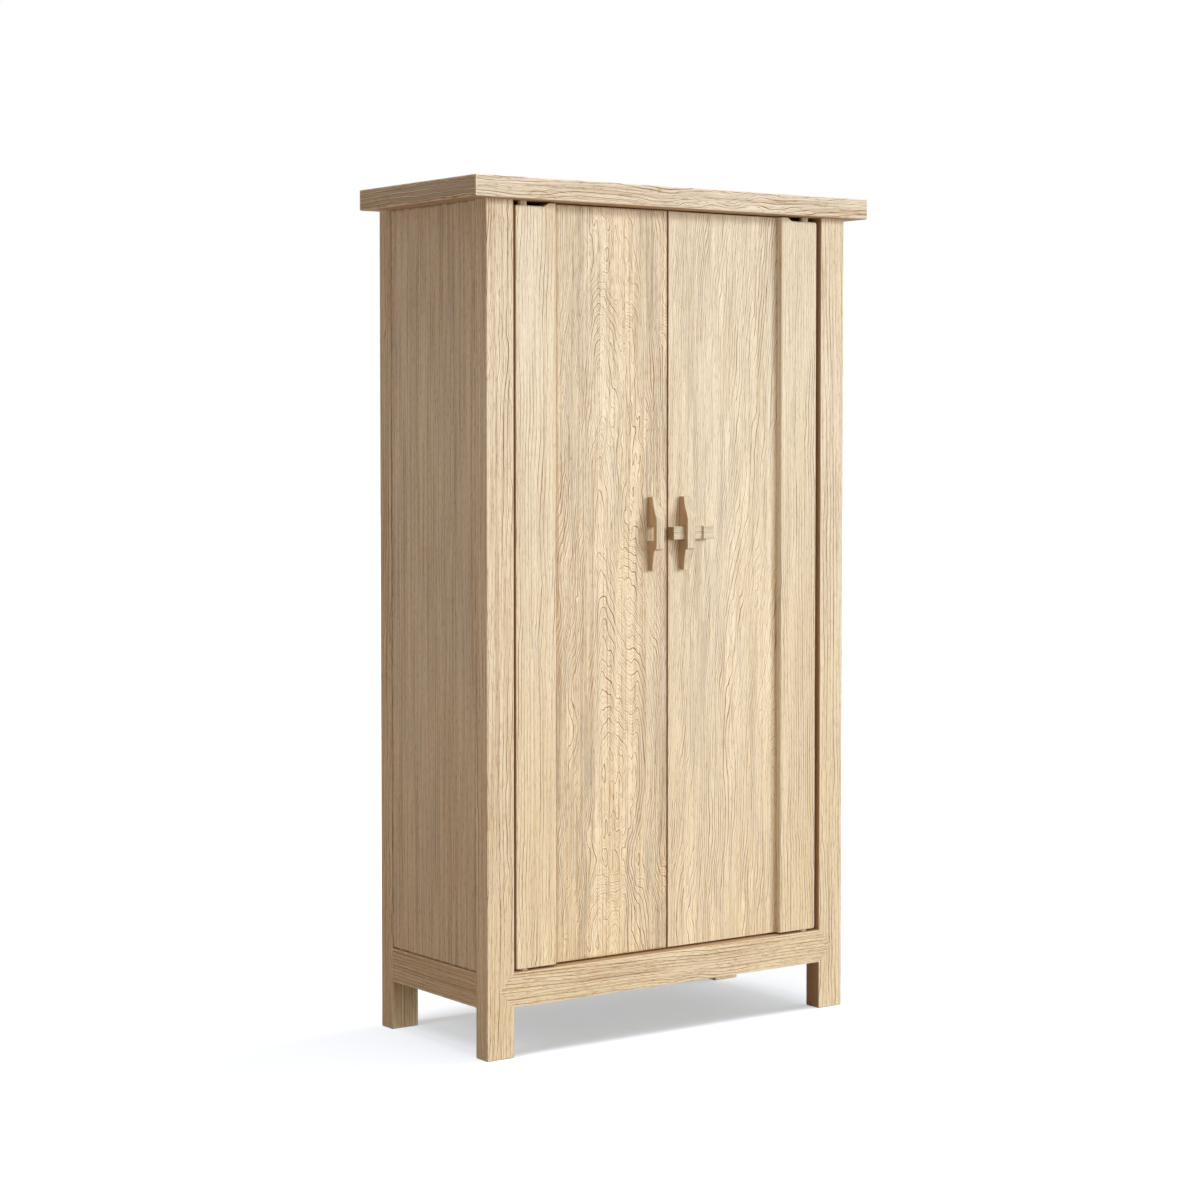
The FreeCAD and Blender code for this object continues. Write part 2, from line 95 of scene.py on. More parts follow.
def streaks(tree, point, across, along, detail):
    """Noise about a half with so many features to the metre across the grain and along it."""
    stretched = reckon_vector(tree, "MULTIPLY", point, (across, across, along))
    return wire(tree, "ShaderNodeTexNoise", {"Vector": stretched, "Scale": 1.0, "Detail": detail},
                noise_dimensions="3D").outputs["Fac"]


def waver(tree, point, across, along, detail):
    """The same noise about nought: streaks less a half."""
    return reckon(tree, "SUBTRACT", streaks(tree, point, across, along, detail), 0.5)


def tint(tree, share, under, over):
    """A share of one colour laid over another."""
    return wire(tree, "ShaderNodeMix", {0: share, 6: under, 7: over}, data_type="RGBA").outputs[2]


def new_group(name, takes, gives):
    """An empty node group with its named sockets, and the nodes that hold them."""
    tree = bpy.data.node_groups.new(name, "ShaderNodeTree")
    for label, kind, value in takes:
        socket = tree.interface.new_socket(label, in_out="INPUT", socket_type=kind)
        socket.default_value = value
    for label, kind in gives:
        tree.interface.new_socket(label, in_out="OUTPUT", socket_type=kind)
    given = tree.nodes.new("NodeGroupInput").outputs
    return tree, given, tree.nodes.new("NodeGroupOutput").inputs


# Ring number at a point: distance from the heart of the log, bent by slow and quick noise, by
# long swells that show as nested arches, by curls in patches and by eyes round small knots, and
# widened by the taper of the trunk, over the width of one year's ring.
POINT_SOCKET = ("Vector", VECTOR, (0, 0, 0))
LOG_SOCKETS = [("Ring", FLOAT, 0.008), ("Figure", FLOAT, 1.0), ("Swirl", FLOAT, 0.0),
               ("Knots", FLOAT, 0.0), ("Taper", FLOAT, 0.01), ("Arch", FLOAT, 0.0)]
SLOW_BEND = 0.050
SWIFT_BEND = 0.018
CURL_BEND = 0.075
KNOT_BEND = 0.030
KNOTS_TO_THE_METRE = (9.0, 9.0, 3.0)
KNOT_REACH = 0.34
elm_rings, given, shown = new_group("elm_rings", [POINT_SOCKET] + LOG_SOCKETS, [("Rings", FLOAT)])
point = given["Vector"]
flat = reckon_vector(elm_rings, "MULTIPLY", point, (1, 1, 0))
radius = wire(elm_rings, "ShaderNodeVectorMath", {0: flat}, operation="LENGTH").outputs["Value"]
height = wire(elm_rings, "ShaderNodeSeparateXYZ", {0: point}).outputs["Z"]
slow = waver(elm_rings, point, across=7.0, along=1.3, detail=1.0)
swift = waver(elm_rings, point, across=26.0, along=5.0, detail=2.0)
swell = waver(elm_rings, point, across=5.5, along=2.7, detail=1.0)
curl = waver(elm_rings, point, across=20.0, along=6.0, detail=2.0)
patch = ease(elm_rings, streaks(elm_rings, point, across=8.0, along=2.6, detail=0.0),
             since=0.44, until=0.60)
cells = reckon_vector(elm_rings, "MULTIPLY", point, KNOTS_TO_THE_METRE)
knot = wire(elm_rings, "ShaderNodeTexVoronoi", {"Vector": cells, "Scale": 1.0})
eye = ease(elm_rings, knot.outputs["Distance"], since=KNOT_REACH, until=0.0)
bend = reckon(elm_rings, "ADD", reckon(elm_rings, "MULTIPLY", slow, SLOW_BEND),
              reckon(elm_rings, "MULTIPLY", swift, SWIFT_BEND))
bend = reckon(elm_rings, "MULTIPLY_ADD", bend, given["Figure"], radius)
bend = reckon(elm_rings, "MULTIPLY_ADD", height, given["Taper"], bend)
bend = reckon(elm_rings, "MULTIPLY_ADD", swell, given["Arch"], bend)
curl = reckon(elm_rings, "MULTIPLY", reckon(elm_rings, "MULTIPLY", curl, patch), given["Swirl"])
bend = reckon(elm_rings, "MULTIPLY_ADD", curl, CURL_BEND, bend)
eye = reckon(elm_rings, "MULTIPLY", eye, given["Knots"])
bend = reckon(elm_rings, "MULTIPLY_ADD", eye, KNOT_BEND, bend)
elm_rings.links.new(reckon(elm_rings, "DIVIDE", bend, given["Ring"]), shown["Rings"])

# Ring slope: the rings are read again a little way across and along the face, which gives how
# many rings go to the metre there, so that a line can keep its width where the rings spread out.
SLOPE_STEP = 0.002
ring_slope, given, shown = new_group(
    "ring_slope", [POINT_SOCKET, ("Across", VECTOR, (1, 0, 0))] + LOG_SOCKETS,
    [("Rings", FLOAT), ("Slope", FLOAT)])


def rings_at(point, log):
    """The ring number at a point of a log, whose other values come from the named sockets."""
    values = {label: log[label] for label, kind, value in LOG_SOCKETS}
    values["Vector"] = point
    return wire(ring_slope, "ShaderNodeGroup", values, node_tree=elm_rings).outputs["Rings"]


point = given["Vector"]
sideways = reckon_vector(ring_slope, "MULTIPLY_ADD", given["Across"], (SLOPE_STEP,) * 3, point)
lengthways = reckon_vector(ring_slope, "ADD", point, (0, 0, SLOPE_STEP))
here = rings_at(point, given)
rise = reckon(ring_slope, "SUBTRACT", rings_at(sideways, given), here)
run = reckon(ring_slope, "SUBTRACT", rings_at(lengthways, given), here)
square = reckon(ring_slope, "MULTIPLY_ADD", rise, rise, reckon(ring_slope, "MULTIPLY", run, run))
slope = reckon(ring_slope, "DIVIDE", reckon(ring_slope, "SQRT", square), SLOPE_STEP)
ring_slope.links.new(here, shown["Rings"])
ring_slope.links.new(slope, shown["Slope"])

# Limed elm: a pale wood with warm and grey clouds, warmer at the foot than at the head. A dark
# open line, here wide and there thin, starts each ring, with a pale line beside it, lime and a
# painted highlight of the raised grain, and two fainter lines after it. Pores and fibres follow the
# grain, arrises are rubbed pale or painted with shade, and named faces get painted brown shade.
LINE_WIDTH = 0.0013
FAINT_WIDTH = 0.0006
WIDEST_SHARE = 0.42
LIME_AND_HIGHLIGHT_SHIFT = 0.0019
TREMBLE = 0.0019
FAINT_LINES = 3.0
LEAST_YEAR = 0.35
LINE_DEPTH, FAINT_DEPTH, PORE_DEPTH, FIBRE_DEPTH = 0.72, 0.36, 0.15, 0.20
LIME_AND_HIGHLIGHT_SHARE, EDGE_WEAR_AND_SHADE_SHARE, SHADE_BROWN_SHARE = 0.90, 0.65, 0.85
WOOD_ROUGH, GRAIN_ROUGH = 0.58, 0.25
LINE_RELIEF, FAINT_RELIEF, PORE_RELIEF = -0.80, -0.20, -0.25
FIBRE_RELIEF, STREAK_RELIEF = -0.60, 0.35
limed_elm, given, shown = new_group(
    "limed_elm",
    [POINT_SOCKET, ("Rings", FLOAT, 0.0), ("Slope", FLOAT, 120.0), ("WearAndShade", FLOAT, 0.0),
     ("Contrast", FLOAT, 1.0), ("Pale", COLOUR, PALE_ELM), ("Warm", COLOUR, WARM_ELM),
     ("Grey", COLOUR, GREY_ELM), ("Grain", COLOUR, GRAIN_BROWN),
     ("Rubbed", COLOUR, RUBBED_ARRIS), ("PaintedShade", FLOAT, 0.0), ("Upward", FLOAT, 0.5)],
    [("Color", COLOUR), ("Roughness", FLOAT), ("Height", FLOAT)])


def contour(rings, slope, width):
    """A line of even width at each whole number: the distance to it over the width there."""
    gap = reckon(limed_elm, "PINGPONG", rings, 0.5)
    reach = reckon(limed_elm, "MINIMUM", reckon(limed_elm, "MULTIPLY", slope, width), WIDEST_SHARE)
    return ease(limed_elm, reckon(limed_elm, "DIVIDE", gap, reach), since=1.0, until=0.0)


point, slope = given["Vector"], given["Slope"]
tremble = waver(limed_elm, point, across=120.0, along=34.0, detail=2.0)
tremble = reckon(limed_elm, "MULTIPLY", tremble, slope)
shaken = reckon(limed_elm, "MULTIPLY_ADD", tremble, TREMBLE, given["Rings"])
year = wire(limed_elm, "ShaderNodeTexWhiteNoise",
            {"W": reckon(limed_elm, "ROUND", shaken)}, noise_dimensions="1D").outputs["Value"]
broken = ease(limed_elm, streaks(limed_elm, point, across=48.0, along=3.4, detail=2.0),
              since=0.36, until=0.62, start=0.30, end=1.0)
swelling = ease(limed_elm, streaks(limed_elm, point, across=40.0, along=6.0, detail=1.0),
                since=0.32, until=0.68, start=0.45, end=1.45)
uneven = reckon(limed_elm, "MULTIPLY", slope, swelling)
line = reckon(limed_elm, "MULTIPLY", contour(shaken, uneven, LINE_WIDTH), broken)
year = reckon(limed_elm, "MULTIPLY_ADD", year, 1.0 - LEAST_YEAR, LEAST_YEAR)
line = reckon(limed_elm, "MULTIPLY", line, year)
# Just after each dark line, a pale line of lime and painted highlight of the raised grain.
beside = reckon(limed_elm, "MULTIPLY_ADD", slope, LIME_AND_HIGHLIGHT_SHIFT, shaken)
bank = reckon(limed_elm, "MULTIPLY", contour(beside, slope, LINE_WIDTH), broken)
thirds = reckon(limed_elm, "MULTIPLY", shaken, FAINT_LINES)
faint = contour(thirds, reckon(limed_elm, "MULTIPLY", slope, FAINT_LINES), FAINT_WIDTH)
pores = ease(limed_elm, streaks(limed_elm, point, across=300.0, along=60.0, detail=2.0),
             since=0.50, until=0.70)
fibre = streaks(limed_elm, point, across=230.0, along=2.6, detail=2.0)
cloud = ease(limed_elm, streaks(limed_elm, point, across=7.0, along=1.2, detail=3.0),
             since=0.36, until=0.64)
streak = streaks(limed_elm, point, across=48.0, along=1.7, detail=3.0)
greyed = ease(limed_elm, streak, since=0.40, until=0.68, start=0.0, end=0.45)
paled = ease(limed_elm, streak, since=0.46, until=0.30, start=0.0, end=0.50)
colour = tint(limed_elm, cloud, given["Pale"], given["Warm"])
colour = tint(limed_elm, greyed, colour, given["Grey"])
colour = tint(limed_elm, paled, colour, given["Pale"])
tone = tint(limed_elm, given["Upward"], FOOT_TONE, HEAD_TONE)
colour = wire(limed_elm, "ShaderNodeMix", {0: 1.0, 6: colour, 7: tone},
              data_type="RGBA", blend_type="MULTIPLY").outputs[2]
depth = reckon(limed_elm, "MULTIPLY_ADD", line, LINE_DEPTH,
               reckon(limed_elm, "MULTIPLY", faint, FAINT_DEPTH))
crowded = ease(limed_elm, slope, since=50.0, until=260.0, start=1.0, end=0.42)
open_ring = ease(limed_elm, slope, since=20.0, until=190.0, start=0.05, end=0.0)
depth = reckon(limed_elm, "ADD", reckon(limed_elm, "MULTIPLY", depth, crowded), open_ring)
depth = reckon(limed_elm, "MULTIPLY_ADD", pores, PORE_DEPTH, depth)
depth = reckon(limed_elm, "MULTIPLY_ADD", ease(limed_elm, fibre, since=0.44, until=0.66),
               FIBRE_DEPTH, depth)
darkened = reckon(limed_elm, "MULTIPLY", depth, given["Contrast"])
colour = tint(limed_elm, reckon(limed_elm, "MULTIPLY", bank, LIME_AND_HIGHLIGHT_SHARE), colour, LIME_AND_HIGHLIGHT)
colour = tint(limed_elm, darkened, colour, given["Grain"])
colour = tint(limed_elm, reckon(limed_elm, "MULTIPLY", given["WearAndShade"], EDGE_WEAR_AND_SHADE_SHARE), colour,
              given["Rubbed"])
colour = tint(limed_elm, reckon(limed_elm, "MULTIPLY", given["PaintedShade"], SHADE_BROWN_SHARE), colour, SHADE_BROWN)
relief = reckon(limed_elm, "MULTIPLY_ADD", line, LINE_RELIEF,
                reckon(limed_elm, "MULTIPLY", faint, FAINT_RELIEF))
relief = reckon(limed_elm, "MULTIPLY_ADD", pores, PORE_RELIEF, relief)
relief = reckon(limed_elm, "MULTIPLY_ADD", fibre, FIBRE_RELIEF, relief)
relief = reckon(limed_elm, "MULTIPLY_ADD", streak, STREAK_RELIEF, relief)
rough = reckon(limed_elm, "MULTIPLY_ADD", depth, GRAIN_ROUGH, WOOD_ROUGH)
limed_elm.links.new(colour, shown["Color"])
limed_elm.links.new(rough, shown["Roughness"])
limed_elm.links.new(relief, shown["Height"])


def face_distances(tree, given):
    """On each axis, the distance from a point to the nearer of the box's two faces there."""
    from_low = reckon_vector(tree, "SUBTRACT", given["Vector"], given["Low"])
    from_high = reckon_vector(tree, "SUBTRACT", given["High"], given["Vector"])
    nearest = reckon_vector(tree, "MINIMUM", from_low, from_high)
    return wire(tree, "ShaderNodeSeparateXYZ", {0: nearest}).outputs


# Arris band: the second-smallest distance from a point to the faces of the piece's box is small
# only near an edge; noise breaks the line up. Points outside the box on one side count as in it.
# The band is rubbed pale on most pieces and painted with shade on the side panels and left board.
ARRIS_BAND_WIDTH = 0.005
arris_band, given, shown = new_group(
    "arris_band",
    [POINT_SOCKET, ("Low", VECTOR, (0, 0, 0)), ("High", VECTOR, (1, 1, 1)),
     ("Width", FLOAT, ARRIS_BAND_WIDTH)],
    [("WearAndShade", FLOAT)])
x, y, z = face_distances(arris_band, given)
least = reckon(arris_band, "MINIMUM", x, y)
most = reckon(arris_band, "MAXIMUM", x, y)
edge = reckon(arris_band, "MAXIMUM", least, reckon(arris_band, "MINIMUM", most, z))
patchy = wire(arris_band, "ShaderNodeTexNoise",
              {"Vector": given["Vector"], "Scale": 38.0, "Detail": 3.0}).outputs["Fac"]
reach = reckon(arris_band, "MULTIPLY", given["Width"],
               ease(arris_band, patchy, since=0.3, until=0.7, start=0.35, end=1.5))
near_arris = reckon(arris_band, "SUBTRACT", 1.0, reckon(arris_band, "DIVIDE", edge, reach))
arris_band.links.new(ease(arris_band, near_arris, since=0.0, until=0.9), shown["WearAndShade"])

# Shaded face: the smallest distance from a point to the named faces of the piece, which get painted
# brown shade; the mask is full on those faces and gone a millimetre inside.
FAR_OFF = 9
shaded_face, given, shown = new_group(
    "shaded_face",
    [POINT_SOCKET, ("Low", VECTOR, (-FAR_OFF,) * 3), ("High", VECTOR, (FAR_OFF,) * 3)],
    [("PaintedShade", FLOAT)])
x, y, z = face_distances(shaded_face, given)
nearest = reckon(shaded_face, "MINIMUM", reckon(shaded_face, "MINIMUM", x, y), z)
shaded_face.links.new(ease(shaded_face, nearest, since=0.0012, until=0.0003), shown["PaintedShade"])

AXES = {"X": (1, 0, 0), "Y": (0, 1, 0), "Z": (0, 0, 1)}
GRAIN_TURN = {"X": (0, math.pi / 2, 0), "Y": (math.pi / 2, 0, 0), "Z": (0, 0, 0)}
FOOT_LEVEL = 0.1
HEAD_LEVEL = 1.6
RELIEF_DEPTH = 0.0020
WAX_SHEEN = 0.16


def elm_finish(name, box, grain, across, heart, contrast=1.35, ring=0.0062, figure=1.0, swirl=0.3,
               knots=0.0, taper=0.01, arch=0.0, bare="", **colours):
    """Limed elm for one piece: its grain runs along an axis, round a heart line of its own. Faces
    that get painted brown shade are named by axis, in small letters on the low side and in capitals
    on the high side."""
    material = bpy.data.materials.new(name)
    material.use_nodes = True
    tree = material.node_tree
    shader = tree.nodes["Principled BSDF"]
    low, high = box
    shade_low = [low[n] if axis in bare else -FAR_OFF for n, axis in enumerate("xyz")]
    shade_high = [high[n] if axis in bare else FAR_OFF for n, axis in enumerate("XYZ")]
    turn = Euler(GRAIN_TURN[grain])
    place = wire(tree, "ShaderNodeTexCoord").outputs["Object"]
    height = wire(tree, "ShaderNodeSeparateXYZ", {0: place}).outputs["Z"]
    log = wire(tree, "ShaderNodeMapping",
               {"Vector": place, "Location": -(turn.to_matrix() @ Vector(heart)),
                "Rotation": turn}).outputs[0]
    wear_and_shade = wire(tree, "ShaderNodeGroup", {"Vector": place, "Low": low, "High": high},
                node_tree=arris_band)
    painted_shade = wire(tree, "ShaderNodeGroup",
                   {"Vector": place, "Low": shade_low, "High": shade_high}, node_tree=shaded_face)
    rings = wire(tree, "ShaderNodeGroup",
                 {"Vector": log, "Across": turn.to_matrix() @ Vector(AXES[across]), "Ring": ring,
                  "Figure": figure, "Swirl": swirl, "Knots": knots, "Taper": taper, "Arch": arch},
                 node_tree=ring_slope)
    wood = wire(tree, "ShaderNodeGroup",
                {"Vector": log, "Rings": rings.outputs["Rings"], "Slope": rings.outputs["Slope"],
                 "WearAndShade": wear_and_shade.outputs["WearAndShade"], "PaintedShade": painted_shade.outputs["PaintedShade"],
                 "Upward": ease(tree, height, since=FOOT_LEVEL, until=HEAD_LEVEL),
                 "Contrast": contrast, **colours},
                node_tree=limed_elm)
    bump = wire(tree, "ShaderNodeBump",
                {"Strength": 1.0, "Distance": RELIEF_DEPTH, "Height": wood.outputs["Height"]})
    tree.links.new(wood.outputs["Color"], shader.inputs["Base Color"])
    tree.links.new(wood.outputs["Roughness"], shader.inputs["Roughness"])
    tree.links.new(bump.outputs["Normal"], shader.inputs["Normal"])
    shader.inputs["Specular IOR Level"].default_value = WAX_SHEEN
    return material


def dress(node, grain, heart, hidden=(0, 0, 0), hidden_high=None, **look):
    """Gives a piece its own length of elm: the axes of its grain and of its show face across the
    grain, where the heart lies from the middle of the piece, and how far its box is drawn in
    before arrises are looked for, on the low sides and, if that differs, on the high sides."""
    low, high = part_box(node)
    middle = (low + high) / 2
    shown_box = (low + Vector(hidden), high - Vector(hidden_high or hidden))
    material = elm_finish("elm_" + node, shown_box, *grain, middle + Vector(heart), **look)
    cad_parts[node].data.materials[0] = material


def tones(pale, warm, grey):
    """The clouds of a piece that is darker or paler than the rest."""
    return {"Pale": pale + (1.0,), "Warm": warm + (1.0,), "Grey": grey + (1.0,)}


MELLOW_POST = tones((0.920, 0.832, 0.640), (0.890, 0.785, 0.565), (0.850, 0.757, 0.570))
# Darker tones for the back left post, as painted shade.
SHADED_POST = tones((0.780, 0.690, 0.510), (0.740, 0.630, 0.430), (0.700, 0.600, 0.430))
# The inner faces of the front posts, beside the doors, get painted brown shade.
dress("front_left_post", "ZX", (0.160, 0.150, 0.31), figure=0.45, contrast=1.45, bare="X",
      **MELLOW_POST)
dress("front_right_post", "ZX", (-0.150, 0.160, 0.77), figure=0.5, contrast=1.15, bare="x")
dress("back_left_post", "ZX", (0.170, -0.140, 1.23), figure=0.5, **SHADED_POST)
dress("back_right_post", "ZX", (-0.150, -0.160, 1.91), figure=0.5)

# Rails
# Five elm rails tie the posts together. The front one is let into the posts with pointed mitres,
# the others have plain shoulders, and all are tenoned and glued.

DARK_RAIL = tones((0.790, 0.665, 0.485), (0.710, 0.560, 0.365), (0.660, 0.555, 0.405))
# The top faces of the front and left rails, under the doors and the side panel, get painted brown
# shade.
dress("front_bottom_rail", "XZ", (0.43, 0.050, 0.160), figure=0.6, contrast=1.7, bare="Z")
dress("left_bottom_rail", "YZ", (0.060, 0.37, 0.170), figure=0.6, bare="Z", **DARK_RAIL)
dress("right_bottom_rail", "YZ", (-0.060, 0.71, 0.150), figure=0.6)
dress("back_bottom_rail", "XZ", (1.13, -0.060, -0.150), figure=0.6)
dress("back_middle_rail", "XZ", (1.57, -0.050, 0.140), figure=0.6)

# Bottom board
# One wide elm board lies level with the rails and is tongued into them all round.

dress("bottom_board", "XY", (0.29, 0.040, -0.090))

# Side and back panels
# Quarter-sawn elm boards at the sides and flat-sawn ones behind sit loose in grooves of the posts
# and rails, so that they can move. The side panels' edges that show get brown painted shade, as
# the shade of their gaps at the posts and rails.

PANEL_GAP_SHADE = (0.200, 0.115, 0.050, 1.0)
PANEL_TONGUE = (0, 0.0075, 0.0075)
for side, heart in (("left", (0.030, 0.330, 0.13)), ("right", (-0.030, -0.310, 0.57))):
    dress(side + "_side_panel", "ZY", heart, PANEL_TONGUE, ring=0.0045, figure=0.4, swirl=0.1,
          Rubbed=PANEL_GAP_SHADE)
dress("back_lower_panel", "ZX", (0.120, 0.090, 1.03))
dress("back_upper_panel", "ZX", (-0.160, 0.100, 2.41))

# Shelves and their bearers
# Three loose elm shelves rest on bearers that are tenoned between the front and back posts.

for number, slip in ((1, 0.21), (2, 0.93), (3, 1.67)):
    dress("shelf_%d" % number, "XY", (slip, 0.020, -0.080 - 0.01 * number))
    dress("left_bearer_%d" % number, "YZ", (0.090, slip, 0.120), figure=0.5)
    dress("right_bearer_%d" % number, "YZ", (-0.090, slip + 0.4, 0.120), figure=0.5)

# Top
# Four mitred elm members frame a loose board, level with it on top; two braces carry the board.

COOL_MEMBER = tones((0.880, 0.815, 0.670), (0.845, 0.765, 0.595), (0.810, 0.740, 0.595))
DARK_MEMBER = tones((0.540, 0.475, 0.360), (0.480, 0.405, 0.285), (0.450, 0.390, 0.300))
# The undersides of the front and end members get painted brown shade.
dress("top_front_member", "XZ", (0.36, 0.160, -0.130), ring=0.0046, figure=0.7, swirl=0.6,
      knots=0.2, arch=0.03, contrast=1.8, bare="z", **COOL_MEMBER)
dress("top_back_member", "XZ", (0.98, -0.160, -0.150), figure=0.6)
dress("top_left_member", "YZ", (0.160, 0.53, 0.150), figure=0.6, bare="z", **DARK_MEMBER)
dress("top_right_member", "YZ", (-0.160, 0.87, 0.150), figure=0.6, bare="z")
dress("top_board", "XY", (1.49, 0.030, -0.100))
dress("top_left_brace", "YX", (0.080, 1.31, 0.060))
dress("top_right_brace", "YX", (-0.080, 1.77, 0.060))

# Door stops
# Two elm blocks glued under the top and on the bottom board stop the doors at the meeting line.

dress("top_door_stop", "XZ", (0.17, 0.060, 0.080))
dress("bottom_door_stop", "XZ", (0.61, 0.060, 0.080))

# Door stiles and pivot pins
# A thick elm stile carries each door. Turned pins in its ends run in the rail and in the top.

# The stiles' ends and outer sides get painted brown shade, and the left stile's inner side too.
dress("left_door_stile", "ZX", (0.130, 0.090, 0.43), figure=0.55, contrast=1.0, bare="xXzZ")
dress("right_door_stile", "ZX", (-0.140, 0.080, 1.19), figure=0.55, contrast=1.0, bare="XzZ")
for side in ("left", "right"):
    dress(side + "_door_upper_pin", "ZX", (0.040, 0.030, 0.11), figure=0.5)
    dress(side + "_door_lower_pin", "ZX", (0.040, 0.030, 0.67), figure=0.5)

# Door boards and battens
# A wide flat-sawn board is tongued into each stile; three dovetailed battens keep it flat. The
# boards' ends and meeting edges get painted brown shade, and the left board gets brown along its
# edges and in the corner beside its stile, old wax and painted shade of the corner together.

BOARD_TONGUE = 0.0095
WAX_AND_SHADE_CORNER = 0.0130
STILE_SIDE = (BOARD_TONGUE + WAX_AND_SHADE_CORNER, 0, 0)
MEETING_SIDE = (0, 0, 0)
CORNER_WAX_AND_SHADE = (0.560, 0.400, 0.225, 1.0)
PALE_BOARD = tones((0.985, 0.905, 0.710), (0.965, 0.870, 0.640), (0.930, 0.840, 0.645))
dress("left_door_board", "ZX", (0.010, 0.130, 0.0), STILE_SIDE, MEETING_SIDE, Rubbed=CORNER_WAX_AND_SHADE,
      ring=0.0036, figure=0.9, swirl=0.40, knots=0.40, taper=0.07, arch=0.06, contrast=1.45,
      bare="XzZ")
dress("right_door_board", "ZX", (0.170, 0.080, 1.4), ring=0.0056, figure=1.3, swirl=0.25,
      knots=0.15, taper=0.09, arch=0.03, contrast=1.0, bare="xzZ", **PALE_BOARD)
for side, slip in (("left", 0.0), ("right", 0.55)):
    for level, more in (("low", 0.19), ("mid", 0.41), ("high", 0.83)):
        dress("%s_door_batten_%s" % (side, level), "XZ", (slip + more, 0.080, 0.100), figure=0.5)

# Handles and dowels
# Two carved elm pulls, full in the middle and swept down to thin ends, dowelled to the boards.
# Their flanks get painted brown shade, and hands have worn their arrises round.

FLANK_SHADE_BROWN = (0.640, 0.440, 0.260, 1.0)
FLANK_SHADE_SHARE = 0.85
BLOCK_SHARE = 0.417
END_SHARE = 0.825
SHARP_CORNER = math.radians(28.0)
FLAT_CORNER = math.radians(0.5)
SAME_POINT = 1e-6
ARRIS_STEPS = 3
PULL_ARRIS = 0.0014


def paint_flank_shade(node):
    """Paints brown shade on the flanks of a pull: a point lies on one when it is as far from the
    middle as the pull is wide there, which narrows from the end of the block to the tip."""
    low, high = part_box(node)
    middle = (low + high) / 2
    half = (high - low) / 2
    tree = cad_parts[node].data.materials[0].node_tree
    base = tree.nodes["Principled BSDF"].inputs["Base Color"]
    place = wire(tree, "ShaderNodeTexCoord").outputs["Object"]
    aside = reckon_vector(tree, "ABSOLUTE", reckon_vector(tree, "SUBTRACT", place, middle))
    parts = wire(tree, "ShaderNodeSeparateXYZ", {0: aside}).outputs
    width = wire(tree, "ShaderNodeMapRange",
                 {"Value": parts["Z"], "From Min": BLOCK_SHARE * half.z, "From Max": half.z,
                  "To Min": half.x, "To Max": END_SHARE * half.x}).outputs["Result"]
    flank_shade = ease(tree, reckon(tree, "SUBTRACT", width, parts["X"]), since=0.0010, until=0.0003,
                 start=0.0, end=FLANK_SHADE_SHARE)
    tree.links.new(tint(tree, flank_shade, base.links[0].from_socket, FLANK_SHADE_BROWN), base)


def hand_worn(node, body, radius):
    """A carved piece as hands have worn it: the skin of its solid, merged and freed of the lines
    inside its flat faces, with every sharp corner rolled over inwards to a small radius."""
    skin = bmesh.new()
    skin.from_mesh(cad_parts[node].data)
    bmesh.ops.remove_doubles(skin, verts=skin.verts, dist=SAME_POINT)
    bmesh.ops.dissolve_limit(skin, angle_limit=FLAT_CORNER, verts=skin.verts, edges=skin.edges)
    for face in skin.faces:
        face.smooth = True
    mesh = bpy.data.meshes.new(node + "_worn")
    skin.to_mesh(mesh)
    skin.free()
    mesh.set_sharp_from_angle(angle=SHARP_CORNER)
    mesh.materials.clear()
    mesh.materials.append(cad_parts[node].data.materials[0])
    piece = bpy.data.objects.new(node + "_worn", mesh)
    bpy.context.scene.collection.objects.link(piece)
    arris = piece.modifiers.new("arris_band", "BEVEL")
    arris.limit_method = "ANGLE"
    arris.angle_limit = SHARP_CORNER
    arris.width = radius
    arris.segments = ARRIS_STEPS
    arris.harden_normals = True
    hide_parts(node)
    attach(piece, body)


for side, heart in (("left", (0.060, 0.050, 0.23)), ("right", (-0.060, 0.050, 0.59))):
    dress(side + "_handle", "ZX", heart, ring=0.0030, figure=0.5, contrast=1.0)
    paint_flank_shade(side + "_handle")
    hand_worn(side + "_handle", side + "_door", PULL_ARRIS)
    for end in ("lower", "upper"):
        dress("%s_handle_%s_dowel" % (side, end), "YX", (0.030, 0.1, 0.030), figure=0.5)

# Bolt
# A square elm bar with a finger grip slides through both pulls and locks the doors.

BOLT_ARRIS = 0.0006
# The bolt's ends and underside get painted brown shade.
dress("latch_bolt", "XZ", (0.33, 0.040, 0.060), ring=0.0030, figure=0.5, contrast=1.0, bare="xXz")
hand_worn("latch_bolt", "latch", BOLT_ARRIS)

# Floor
# A plain white sweep under the cabinet. The camera sees it white except where the cabinet
# shades it; to every other ray it is a pale matt ground.

FLOOR_REACH = 30.0
FLOOR_MATT = (0.47, 0.41, 0.36, 1.0)
FLOOR_SEEN = (0.74, 0.82, 0.92, 1.0)
FLOOR_LIFT = (0.41, 0.438, 0.456, 1.0)


def seen_directly(tree):
    """One for a ray that the camera sends, straight or by a mirror or glass, and else nought."""
    ray = wire(tree, "ShaderNodeLightPath").outputs
    passed_on = reckon(tree, "MAXIMUM", ray["Is Glossy Ray"], ray["Is Transmission Ray"])
    return reckon(tree, "MAXIMUM", ray["Is Camera Ray"], passed_on)


